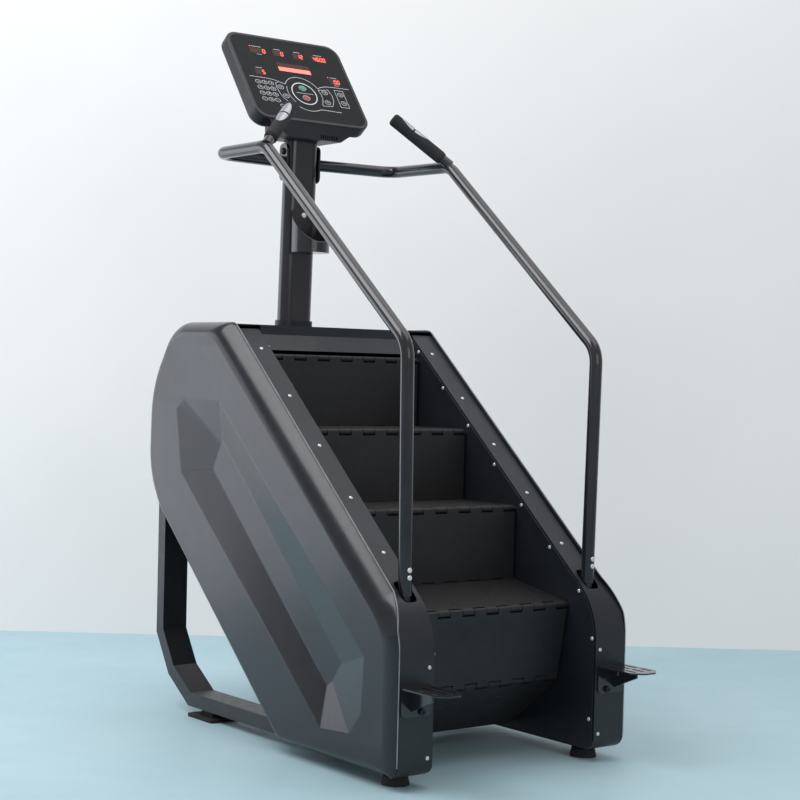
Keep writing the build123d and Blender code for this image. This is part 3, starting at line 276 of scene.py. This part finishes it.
def rounded(points, radii, steps=14):
    """Points along a clockwise polygon with rounded corners, each with its place between two edges."""
    out = []
    count = len(points)
    for i, corner in enumerate(points):
        here = Vector(corner)
        into = (here - Vector(points[i - 1])).normalized()
        away = (Vector(points[(i + 1) % count]) - here).normalized()
        turn = into.angle(away)
        reach = radii[i] * math.tan(turn / 2)
        start = here - into * reach
        inward = Vector((into.y, -into.x))
        centre = start + inward * radii[i]
        for k in range(steps + 1):
            a = turn * k / steps
            offset = -inward * math.cos(a) + into * math.sin(a)
            out.append((centre + offset * radii[i], i, k / steps))
    return out


def cover_ring(share, extra=0.0):
    """One ring of the cover's shoulder: share 0 is the rim and 1 the shoulder's inner end."""
    distances = [w * share + extra for w in SHOULDER]
    radii = [r + (inner - r) * share - extra for r, inner in zip(CASING_RADII, INNER_RADII)]
    return rounded(inset(CASING, distances), radii)


def clamp(value):
    """A value kept between 0 and 1."""
    return min(max(value, 0.0), 1.0)


def rim_x(place):
    """Where the rim lies: further out at the low front, where the front strip is wider."""
    low = clamp((LOW_TOP - place.y) / LOW_FADE)
    reach = TOE_REACH if place.y < TOE_TOP else STRIP_REACH
    front = clamp((reach - place.x) / REACH_FADE)
    return RIM_X + LOW_RIM * low * front


def shoulder_x(share, corner, along, base):
    """How far out the shoulder stands, rounder at the rear and straighter at the front."""
    straight = STRAIGHT[corner - 1] * (1 - along) + STRAIGHT[corner] * along
    circle = math.sqrt(max(0.0, 1 - (1 - share) ** 2))
    bulge = share * (1 + FULLNESS * (1 - share))
    level = circle * (1 - straight) + bulge * straight
    return base + RIM_HEIGHT + (OUTER_X - base - RIM_HEIGHT) * level


def bevel_facets(mesh, first, last):
    """Soften the edges between the sunken panel's facets, whose points run from first to last."""
    work = bmesh.new()
    work.from_mesh(mesh)
    work.verts.ensure_lookup_table()
    facets = {work.verts[i] for i in range(first, last)}
    edges = [e for e in work.edges if set(e.verts) <= facets and e.is_manifold
             and e.calc_face_angle() > FACET_TURN]
    bmesh.ops.bevel(work, geom=edges, offset=FACET_BEVEL, segments=3, profile=0.6, affect="EDGES")
    work.to_mesh(mesh)
    work.free()


def make_cover(name, sign):
    """One side cover: its rim, its shoulder and its sunken panel, on the side that sign says."""
    points, faces, rings = [], [], []

    def add_ring(ring, heights):
        first = len(points)
        for (place, _, _), x in zip(ring, heights):
            points.append(spot(sign * x, place.x, place.y))
        rings.append(range(first, len(points)))

    def join(low, high):
        for i in range(len(low)):
            j = (i + 1) % len(low)
            faces.append((low[i], low[j], high[j], high[i]))

    rim = cover_ring(0.0)
    base = [rim_x(place) for place, _, _ in rim]
    for extra, out in RIM_SECTION:
        add_ring(cover_ring(0.0, extra), [x + out for x in base])
    for share in SHOULDER_RINGS:
        ring = cover_ring(share, RIM_INSET)
        add_ring(ring, [shoulder_x(share, corner, along, x)
                        for (_, corner, along), x in zip(ring, base)])
    for low, high in zip(rings, rings[1:]):
        join(low, high)

    top = [points[i] for i in rings[-1]]
    hole = [spot(sign * x, y, z) for (y, z), x in zip(RECESS_OUTER, RECESS_RIM_X)]
    hole_first, floor_first = len(points), len(points) + len(hole)
    points.extend(hole)
    points.extend(spot(sign * RECESS_FLOOR_X, y, z) for y, z in RECESS_INNER)
    loops = [[Vector((p.y, p.z, 0)) for p in loop] for loop in (top, hole)]
    index = [*rings[-1], *range(hole_first, floor_first)]
    faces.extend(tuple(index[i] for i in face) for face in tessellate_polygon(loops))
    join(range(hole_first, floor_first), range(floor_first, len(points)))
    faces.append(tuple(range(floor_first, len(points))))

    cover = mesh_piece(name, points, faces, COVER, "frame")
    # The rim's front faces get the light grey painted highlight in place of the cover's own colour.
    cover.data.materials.append(RIM_HIGHLIGHT_PAINT)
    for band in PAINTED_HIGHLIGHT_BANDS:
        for i, (place, _, _) in enumerate(rim):
            if place.x < PAINTED_HIGHLIGHT_BACK and place.y > PAINTED_HIGHLIGHT_BOTTOM:
                cover.data.polygons[band * len(rim) + i].material_index = 1
    bevel_facets(cover.data, hole_first, len(points))
    cover.data.polygons.foreach_set("use_smooth", [True] * len(cover.data.polygons))
    cover.data.set_sharp_from_angle(angle=SHARP_TURN)
    weighted = cover.modifiers.new("even_shading", "WEIGHTED_NORMAL")
    weighted.keep_sharp = True
    return cover


left_cover = make_cover("left_cover_shell", -1)
right_cover = make_cover("right_cover_shell", 1)
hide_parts("left_side_cover")
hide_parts("right_side_cover")


# ---------------------------------------------------------------- console printing
TILT = math.radians(53.6)
FACE_UP = Vector((0, math.cos(TILT), math.sin(TILT)))
FACE_OUT = Vector((0, -math.sin(TILT), math.cos(TILT)))
FACE_CENTRE = spot(0, 1077.3, 1899.8)
# How far out of the face each kind of shape starts and ends, in millimetres.
PRINTED, PRINTED_BOLD = (-0.45, -0.25), (-0.45, -0.2)
DISPLAY, MATRIX = (-0.3, -0.1), (-0.3, -0.12)
ON_KEY = (0.45, 0.6)


def on_console(a, b, d):
    """A point on the console: a across, b up its face and d out of it, in millimetres."""
    return FACE_CENTRE + (Vector((a, 0, 0)) + FACE_UP * b + FACE_OUT * d) / 1000


class Print:
    """Thin raised shapes gathered into one piece."""

    def __init__(self):
        self.points, self.faces = [], []

    def prism(self, outline, low, high):
        """A flat shape with this outline, from one depth to another."""
        first, n = len(self.points), len(outline)
        for d in (low, high):
            self.points.extend(on_console(a, b, d) for a, b in outline)
        self.faces.append(tuple(range(first + n, first + 2 * n)))
        self.faces.append(tuple(range(first + n - 1, first - 1, -1)))
        for i in range(n):
            j = (i + 1) % n
            self.faces.append((first + i, first + j, first + n + j, first + n + i))

    def band(self, path, width, low, high, closed=False):
        """A line of even width along a path, with mitred joints."""
        path = [Vector(p) for p in path]
        count = len(path)
        lefts, rights = [], []
        for i, p in enumerate(path):
            into = p - path[i - 1] if closed or i else path[1] - p
            away = path[(i + 1) % count] - p if closed or i < count - 1 else into
            into, away = into.normalized(), away.normalized()
            normal = Vector((-into.y - away.y, into.x + away.x))
            normal *= width / 2 / max(0.35, normal.length_squared / 2)
            lefts.append(p + normal)
            rights.append(p - normal)
        spans = count if closed else count - 1
        for i in range(spans):
            j = (i + 1) % count
            self.prism([lefts[i], rights[i], rights[j], lefts[j]], low, high)

    def make(self, name, mat, slot):
        return mesh_piece(name, self.points, self.faces, mat, "frame")


def arc(centre, radius, start, end, steps=24, squeeze=1.0):
    """Points along an arc between two angles in degrees, made lower by squeeze."""
    angles = [math.radians(start + (end - start) * i / steps) for i in range(steps + 1)]
    return [(centre[0] + radius * math.cos(a), centre[1] + radius * squeeze * math.sin(a))
            for a in angles]


# The strokes that each figure lights, named as on any seven-segment display.
SEGMENTS = {"0": "abcdef", "1": "bc", "2": "abged", "3": "abgcd", "4": "fgbc", "5": "afgcd",
            "6": "afgedc", "7": "abc", "8": "abcdefg", "9": "abcdfg", "-": "g"}


def digits(sheet, text, right, base, height, stroke, low, high):
    """Seven-segment figures, set against their right-hand end."""
    wide = height * 0.52
    pitch = wide * 1.5
    lean = 0.12
    ends = {"a": ((0, 1), (1, 1)), "b": ((1, 1), (1, 0.5)), "c": ((1, 0.5), (1, 0)),
            "d": ((0, 0), (1, 0)), "e": ((0, 0.5), (0, 0)), "f": ((0, 1), (0, 0.5)),
            "g": ((0, 0.5), (1, 0.5))}
    for k, figure in enumerate(reversed(text)):
        left = right - wide - k * pitch
        for segment in SEGMENTS[figure]:
            (u0, v0), (u1, v1) = ends[segment]
            start = Vector((left + u0 * wide + v0 * height * lean, base + v0 * height))
            end = Vector((left + u1 * wide + v1 * height * lean, base + v1 * height))
            along = (end - start).normalized() * stroke * 0.45
            sheet.band([start + along, end - along], stroke, low, high)


# Each display window: its centre, its width and the figures that it shows.
WINDOWS = [(-108.0, 105.0, 56.0, "0"), (-34.0, 105.0, 38.0, "0"), (38.0, 105.0, 38.0, "12"),
           (116.0, 105.0, 50.0, "4600"), (-130.0, 15.0, 36.0, "5"), (141.0, 15.0, 38.0, "00")]
lit, white = Print(), Print()
for a, b, width, text in WINDOWS:
    digits(lit, text, a + width / 2 - 3, b - 7.5, 15.0, 2.6, *DISPLAY)
    white.band([(a - width * 0.32, b + 16.5), (a + width * 0.3, b + 16.5)], 1.6, *PRINTED)
for a, b in ((-108.0, 105.0), (141.0, 15.0)):
    white.band([(a - 8, b - 15.5), (a + 10, b - 15.5)], 1.2, *PRINTED)
for a, b in ((-131.0, 121.5), (121.0, 31.5)):
    lit.prism(arc((a, b), 1.8, 0, 330, 11), *PRINTED_BOLD)
lit.make("led_digits", DIGIT, "window")

# The printed ring round the two round keys, and the lines that run from it.
RING = (3.0, -54.0)
upper_line = [(-177, -9), (-118, -9), (-95, -11.5), (-76, -17)]
upper_line += arc(RING, 66, 153, 26, 40) + [(74, -17.5), (95, -11.6), (120, -9.5), (184, -9)]
white.band(upper_line, 1.6, *PRINTED)
white.band(arc(RING, 43, 0, 351, 39), 3.4, *PRINTED_BOLD, closed=True)
white.band([(-26, -53), (35, -53)], 1.3, *PRINTED)
white.band([(-76, -17), (-90, -24), (-93, -40), (-90, -62), (-82, -84), (-68, -98)], 1.4, *PRINTED)
white.band(arc(RING, 60, 158, 222, 16), 1.4, *PRINTED)
band_right = arc(RING, 63, 22, -32, 16) + [(56, -96), (92, -93), (104, -72), (107, -48), (100, -24)]
white.band(band_right, 1.4, *PRINTED, closed=True)
white.band([(124, -21), (156, -21), (156, -91), (124, -91)], 1.4, *PRINTED, closed=True)
lower_line = arc(RING, 70, 236, 300, 20) + [(48, -113), (116, -115)]
white.band(lower_line, 1.6, *PRINTED)
NUMBER_KEYS = [(-153.0 + 22.5 * i, -28.0 - 23.0 * j) for j in range(4) for i in range(3)]
BAND_KEYS = [(-77.0, -39.0), (-70.0, -74.0), (83.0, -38.0), (79.0, -79.0), (141.0, -38.0),
             (141.0, -73.0)]
for (a, b), figure in zip(NUMBER_KEYS, "123456789-0-"):
    white.band(arc((a, b), 9.2, 0, 346, 26, 0.78), 1.3, *PRINTED, closed=True)
    digits(white, figure, a + 1.6, b - 3.2, 6.4, 1.1, *ON_KEY)
for b in (-32.0, -71.0):
    white.band(arc((4.0, b), 12.6, 0, 346, 26, 0.76), 1.2, *PRINTED, closed=True)
for k, (a, b) in enumerate(BAND_KEYS):
    white.band(arc((a, b), 10.4, 0, 346, 26, 0.76), 1.3, *PRINTED, closed=True)
    white.band([(a - 4.5, b - 1.8), (a, b + 2.6), (a + 4.5, b - 1.8)] if k % 2 else
               [(a - 4.5, b + 1.8), (a, b - 2.6), (a + 4.5, b + 1.8)], 1.2, *ON_KEY)
white.band(arc((-98, -117), 8.0, 0, 346, 26, 0.7), 1.2, *PRINTED, closed=True)
white.make("panel_print", PRINT, "membrane")

bars = Print()
LIGHT_PITCH, LIGHT_HALF = 4.0, 1.85
for row in range(4):
    b = 34.0 + row * LIGHT_PITCH
    for column in range(29):
        a = -53.5 + column * LIGHT_PITCH
        bars.prism([(a - LIGHT_HALF, b - LIGHT_HALF), (a + LIGHT_HALF, b - LIGHT_HALF),
                    (a + LIGHT_HALF, b + LIGHT_HALF), (a - LIGHT_HALF, b + LIGHT_HALF)], *MATRIX)
bars.make("matrix_lights", MATRIX_LIT, "window")


# ---------------------------------------------------------------- stage
def sheet_of(name, corners, mat):
    """A flat four-cornered surface."""
    mesh = bpy.data.meshes.new(name)
    mesh.from_pydata(corners, [], [(0, 1, 2, 3)])
    obj = bpy.data.objects.new(name, mesh)
    bpy.context.scene.collection.objects.link(obj)
    mesh.materials.append(mat)
    return obj


def clear_from_behind(mat):
    """Let a view from behind the backdrop pass through it."""
    nodes, links = mat.node_tree.nodes, mat.node_tree.links
    mix, clear = nodes.new("ShaderNodeMixShader"), nodes.new("ShaderNodeBsdfTransparent")
    links.new(nodes.new("ShaderNodeNewGeometry").outputs["Backfacing"], mix.inputs["Fac"])
    links.new(nodes["Principled BSDF"].outputs["BSDF"], mix.inputs[1])
    links.new(clear.outputs["BSDF"], mix.inputs[2])
    links.new(mix.outputs["Shader"], nodes["Material Output"].inputs["Surface"])


FLOOR = surface("studio_floor", (0.41, 0.60, 0.66), (0.46, 0.65, 0.71), (0.45, 0.6), patch=1.2,
                grain=(60.0, 0.1, 0.0005))
WALL = surface("studio_wall", (0.80, 0.78, 0.77), (0.84, 0.82, 0.81), (0.8, 0.9), patch=0.8,
               grain=(60.0, 0.1, 0.0005))
wall_shader = WALL.node_tree.nodes["Principled BSDF"]
wall_shader.inputs["Emission Color"].default_value = (1, 1, 1, 1)
wall_shader.inputs["Emission Strength"].default_value = 0.10
clear_from_behind(WALL)
FLOOR_HALF = 12
floor = sheet_of("floor", [(x * FLOOR_HALF, y * FLOOR_HALF, 0) for x, y in
                           ((-1, -1), (1, -1), (1, 1), (-1, 1))], FLOOR)

# The camera, and a wall square to its view; all in metres and degrees.
LENS_MM, SENSOR_MM = 79.01, 36.0
WALL_DISTANCE, WALL_HALF, WALL_TOP = 1.75, 9, 6
EYE = Vector((-2.9559, -3.95105, 1.0252))
YAW, PITCH, ROLL = (math.radians(a) for a in (-37.154, -0.921, 1.444))
ahead = Vector((-math.sin(YAW) * math.cos(PITCH), math.cos(YAW) * math.cos(PITCH), math.sin(PITCH)))
side = Vector((math.cos(YAW), math.sin(YAW), 0))
above = side.cross(ahead)
right = side * math.cos(ROLL) + above * math.sin(ROLL)
up = above * math.cos(ROLL) - side * math.sin(ROLL)
level = Vector((ahead.x, ahead.y, 0)).normalized()
wall = sheet_of("wall", [tuple(level * WALL_DISTANCE + side * a + Vector((0, 0, h))) for a, h in
                         ((-WALL_HALF, 0), (WALL_HALF, 0), (WALL_HALF, WALL_TOP), (-WALL_HALF, WALL_TOP))],
                WALL)

camera = bpy.data.objects.new("camera", bpy.data.cameras.new("camera"))
bpy.context.scene.collection.objects.link(camera)
camera.data.lens = LENS_MM
camera.data.sensor_width = SENSOR_MM
camera.data.dof.use_dof = False
camera.matrix_world = Matrix((
    (right.x, up.x, -ahead.x, EYE.x),
    (right.y, up.y, -ahead.y, EYE.y),
    (right.z, up.z, -ahead.z, EYE.z),
    (0, 0, 0, 1),
))
bpy.context.scene.camera = camera


def softbox(name, place, aim, size, watts, tint=(1, 1, 1)):
    """A rectangular light at a place, turned towards a point."""
    data = bpy.data.lights.new(name, "AREA")
    data.shape = "RECTANGLE"
    data.size, data.size_y = size
    data.energy = watts
    data.color = tint
    obj = bpy.data.objects.new(name, data)
    bpy.context.scene.collection.objects.link(obj)
    obj.location = place
    obj.rotation_euler = (Vector(aim) - Vector(place)).to_track_quat("-Z", "Y").to_euler()


softbox("key", (-2.3, 0.5, 4.0), (0, 0, 0.8), (2.6, 2.4), 92)
softbox("left_panel", (-2.1, 2.6, 1.13), (-0.39, 0, 1.13), (2.0, 2.2), 23, (0.88, 0.9, 1.0))
softbox("overhead", (0.6, -0.9, 4.4), (0, 0, 0.8), (3.4, 3.4), 48)
softbox("front_fill", (-0.8, -5.0, 2.4), (0, 0, 0.8), (3.0, 2.0), 25, (0.95, 0.98, 1.0))

world = bpy.data.worlds.new("studio")
bpy.context.scene.world = world
world.use_nodes = True
back = world.node_tree.nodes["Background"]
back.inputs["Color"].default_value = (0.80, 0.79, 0.82, 1)
back.inputs["Strength"].default_value = 0.52
bpy.context.scene.view_settings.view_transform = "Standard"
